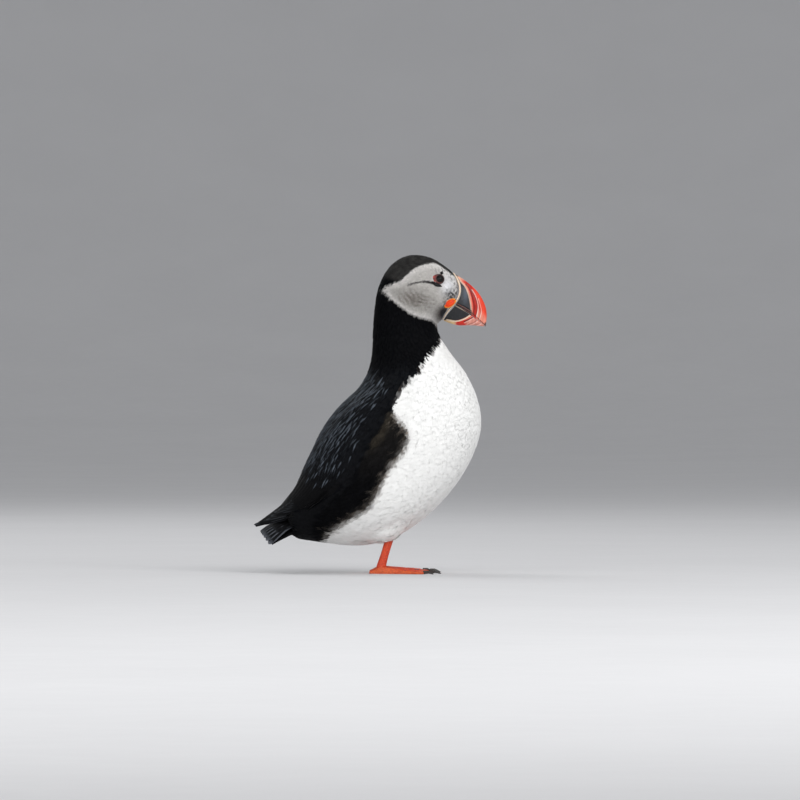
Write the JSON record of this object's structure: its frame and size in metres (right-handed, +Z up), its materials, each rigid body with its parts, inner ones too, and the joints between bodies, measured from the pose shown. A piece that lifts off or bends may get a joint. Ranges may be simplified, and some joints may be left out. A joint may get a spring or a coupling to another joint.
{
  "type": "atlantic puffin",
  "caption": "Still, life-size Atlantic puffin standing with its head raised and wings folded, black above and white below, with a grey face, a tall striped bill and webbed feet.",
  "frame": {"origin": "on the floor between the feet, midway along the bird from bill to wing tips", "axes": "+X the way the bird looks, -Y its right side, +Z up"},
  "size_m": [0.1755, 0.1014, 0.2401],
  "materials": {
    "white_feathers": "soft white breast and belly feathers",
    "black_feathers": "soft brown-black feathers, faintly glossy on the wing",
    "face_feathers": "short, dense pale grey feathers with a black crown",
    "bill_horn": "satin horn, slate at the base and grooved red towards the tip",
    "cream_horn": "satin cream band",
    "gape_skin": "wrinkled orange skin",
    "eye": "wet, dark and glossy with a red rim",
    "leg_skin": "scaly orange-red skin",
    "claw_horn": "black horn, slightly glossy"
  },
  "bodies": {
    "root": {"bill_lower": "bill_horn", "bill_upper": "bill_horn", "cere": "cream_horn", "claw_left_inner": "claw_horn", "claw_left_middle": "claw_horn", "claw_left_outer": "claw_horn", "claw_right_inner": "claw_horn", "claw_right_middle": "claw_horn", "claw_right_outer": "claw_horn", "eye_left": "eye", "eye_right": "eye", "foot_left": "leg_skin", "foot_right": "leg_skin", "head": "face_feathers", "neck": "black_feathers", "rosette_left": "gape_skin", "rosette_right": "gape_skin", "shank_left": "leg_skin", "shank_right": "leg_skin", "tail": "black_feathers", "trunk": "white_feathers", "wing_left": "black_feathers", "wing_right": "black_feathers"}
  },
  "joints": []
}
